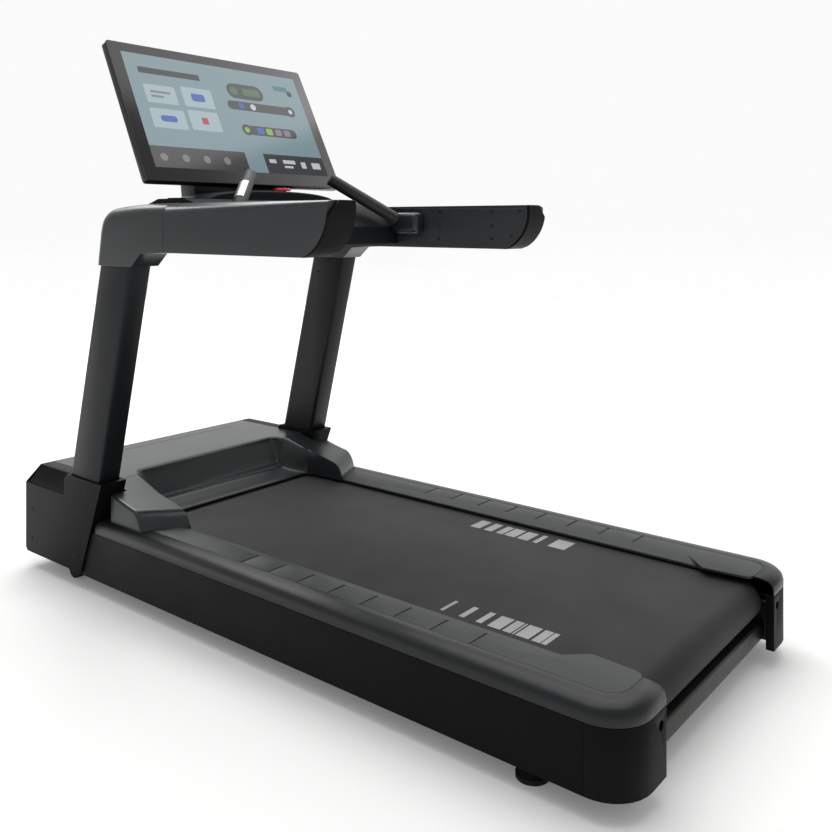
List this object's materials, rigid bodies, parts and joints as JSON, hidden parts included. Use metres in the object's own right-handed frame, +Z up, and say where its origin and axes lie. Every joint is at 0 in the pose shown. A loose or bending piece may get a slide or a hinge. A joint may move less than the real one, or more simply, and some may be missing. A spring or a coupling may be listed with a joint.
{
  "type": "treadmill",
  "caption": "Commercial treadmill with a large tilted display on two leaning uprights, side arms with raised grips, ribbed foot rails and a powered incline.",
  "frame": {"origin": "on the floor, under the middle of the machine's box", "axes": "+Z up, +Y forward to the motor end, +X to the right of a person running on it"},
  "size_m": [0.934, 2.036, 1.6127],
  "materials": {
    "frame_steel": "satin black powder coat",
    "satin_cover": "satin dark grey moulding",
    "dark_cover": "fine textured black moulding",
    "rail_plastic": "ribbed grey moulding",
    "display_glass": "lit screen behind clear glass",
    "rubber": "matt black rubber",
    "sensor_steel": "brushed",
    "belting": "fine embossed PVC weave",
    "deck_wood": "waxed phenolic faced board",
    "bare_steel": "turned",
    "cast_aluminium": "die cast",
    "red_plastic": "gloss red"
  },
  "bodies": {
    "root": {"frame_rail_left": "frame_steel", "frame_rail_right": "frame_steel", "rear_crossbar": "frame_steel", "deck_crossbar_rear": "frame_steel", "deck_crossbar_front": "frame_steel", "motor_pan": "frame_steel", "upright_left": "frame_steel", "upright_right": "frame_steel", "handrail_frame": "frame_steel", "motor_hood": "satin_cover", "housing_cover_left": "satin_cover", "housing_cover_right": "satin_cover", "side_panel_left": "dark_cover", "side_panel_right": "dark_cover", "edge_trim_left": "satin_cover", "edge_trim_right": "satin_cover", "foot_rail_left": "rail_plastic", "foot_rail_right": "rail_plastic", "rear_cap_left": "dark_cover", "rear_cap_right": "dark_cover", "upright_hood_left": "satin_cover", "upright_hood_right": "satin_cover", "arm_shell_left": "satin_cover", "arm_shell_right": "satin_cover", "arm_panel_left": "dark_cover", "arm_panel_right": "dark_cover", "arm_end_cap_left": "dark_cover", "arm_end_cap_right": "dark_cover", "console_body": "satin_cover", "display_frame": "dark_cover", "display_screen": "display_glass", "display_bracket": "dark_cover", "grip_left": "rubber", "grip_right": "rubber", "grip_pod_left": "dark_cover", "grip_pod_right": "dark_cover", "grip_sensor_left": "sensor_steel", "grip_sensor_right": "sensor_steel", "deck_board": "deck_wood", "running_belt": "belting", "rear_axle": "bare_steel", "front_axle": "bare_steel", "drive_belt": "rubber", "motor_body": "cast_aluminium", "motor_controller": "cast_aluminium", "power_inlet": "dark_cover"},
    "front_roller": {"front_roller": "bare_steel"},
    "rear_roller": {"rear_roller": "bare_steel"},
    "motor_rotor": {"motor_rotor": "bare_steel"},
    "lift_frame": {"lift_frame": "frame_steel"},
    "lift_motor": {"lift_motor": "cast_aluminium"},
    "lift_tube": {"lift_tube": "bare_steel"},
    "lift_wheel_left": {"lift_wheel_left": "rubber"},
    "lift_wheel_right": {"lift_wheel_right": "rubber"},
    "level_foot_left": {"level_foot_left": "rubber"},
    "level_foot_right": {"level_foot_right": "rubber"},
    "tension_bolt_left": {"tension_bolt_left": "bare_steel"},
    "tension_bolt_right": {"tension_bolt_right": "bare_steel"},
    "stop_button": {"stop_button": "red_plastic"},
    "power_switch": {"power_switch": "red_plastic"}
  },
  "joints": [
    {"name": "front_roller_spin", "type": "hinge", "parent": "root", "child": "front_roller", "pos_m": [0, 0.65, 0.1467], "axis": [1, 0, 0], "continuous": true},
    {"name": "rear_roller_spin", "type": "hinge", "parent": "root", "child": "rear_roller", "pos_m": [0, -0.94, 0.1467], "axis": [1, 0, 0], "continuous": true},
    {"name": "motor_rotor_spin", "type": "hinge", "parent": "root", "child": "motor_rotor", "pos_m": [0, 0.833, 0.1467], "axis": [1, 0, 0], "continuous": true},
    {"name": "lift_hinge", "type": "hinge", "parent": "root", "child": "lift_frame", "pos_m": [0, 0.33, 0.073], "axis": [-1, 0, 0], "range_deg": [0, 30]},
    {"name": "lift_motor_pivot", "type": "hinge", "parent": "root", "child": "lift_motor", "pos_m": [0, 0.965, 0.262], "axis": [1, 0, 0], "range_deg": [0, 12.6]},
    {"name": "lift_tube_slide", "type": "slide", "parent": "lift_motor", "child": "lift_tube", "axis": [0, -0.7881, -0.6156], "range_m": [0, 0.173]},
    {"name": "lift_wheel_left_spin", "type": "hinge", "parent": "lift_frame", "child": "lift_wheel_left", "pos_m": [-0.417, 0.8, 0.03], "axis": [1, 0, 0], "continuous": true},
    {"name": "lift_wheel_right_spin", "type": "hinge", "parent": "lift_frame", "child": "lift_wheel_right", "pos_m": [0.417, 0.8, 0.03], "axis": [1, 0, 0], "continuous": true},
    {"name": "level_foot_left_screw", "type": "slide", "parent": "root", "child": "level_foot_left", "axis": [0, 0, -1], "range_m": [0, 0.015]},
    {"name": "level_foot_right_screw", "type": "slide", "parent": "root", "child": "level_foot_right", "axis": [0, 0, -1], "range_m": [0, 0.015]},
    {"name": "tension_bolt_left_turn", "type": "hinge", "parent": "root", "child": "tension_bolt_left", "pos_m": [-0.336, -1.0035, 0.1467], "axis": [0, -1, 0], "continuous": true},
    {"name": "tension_bolt_right_turn", "type": "hinge", "parent": "root", "child": "tension_bolt_right", "pos_m": [0.336, -1.0035, 0.1467], "axis": [0, -1, 0], "continuous": true},
    {"name": "stop_button_press", "type": "slide", "parent": "root", "child": "stop_button", "axis": [0, 0, -1], "range_m": [0, 0.005], "stiffness_N_per_m": 600, "springref_m": -0.003},
    {"name": "power_switch_rock", "type": "hinge", "parent": "root", "child": "power_switch", "pos_m": [-0.154, 1.01, 0.108], "axis": [1, 0, 0], "range_deg": [0, 18]}
  ],
  "couplings": [
    {"joint": "rear_roller_spin", "follows": "front_roller_spin", "ratio": 1},
    {"joint": "motor_rotor_spin", "follows": "front_roller_spin", "ratio": 2.5},
    {"joint": "lift_motor_pivot", "follows": "lift_hinge", "ratio": 0.41},
    {"joint": "lift_tube_slide", "follows": "lift_hinge", "m_per_rad": 0.325}
  ]
}
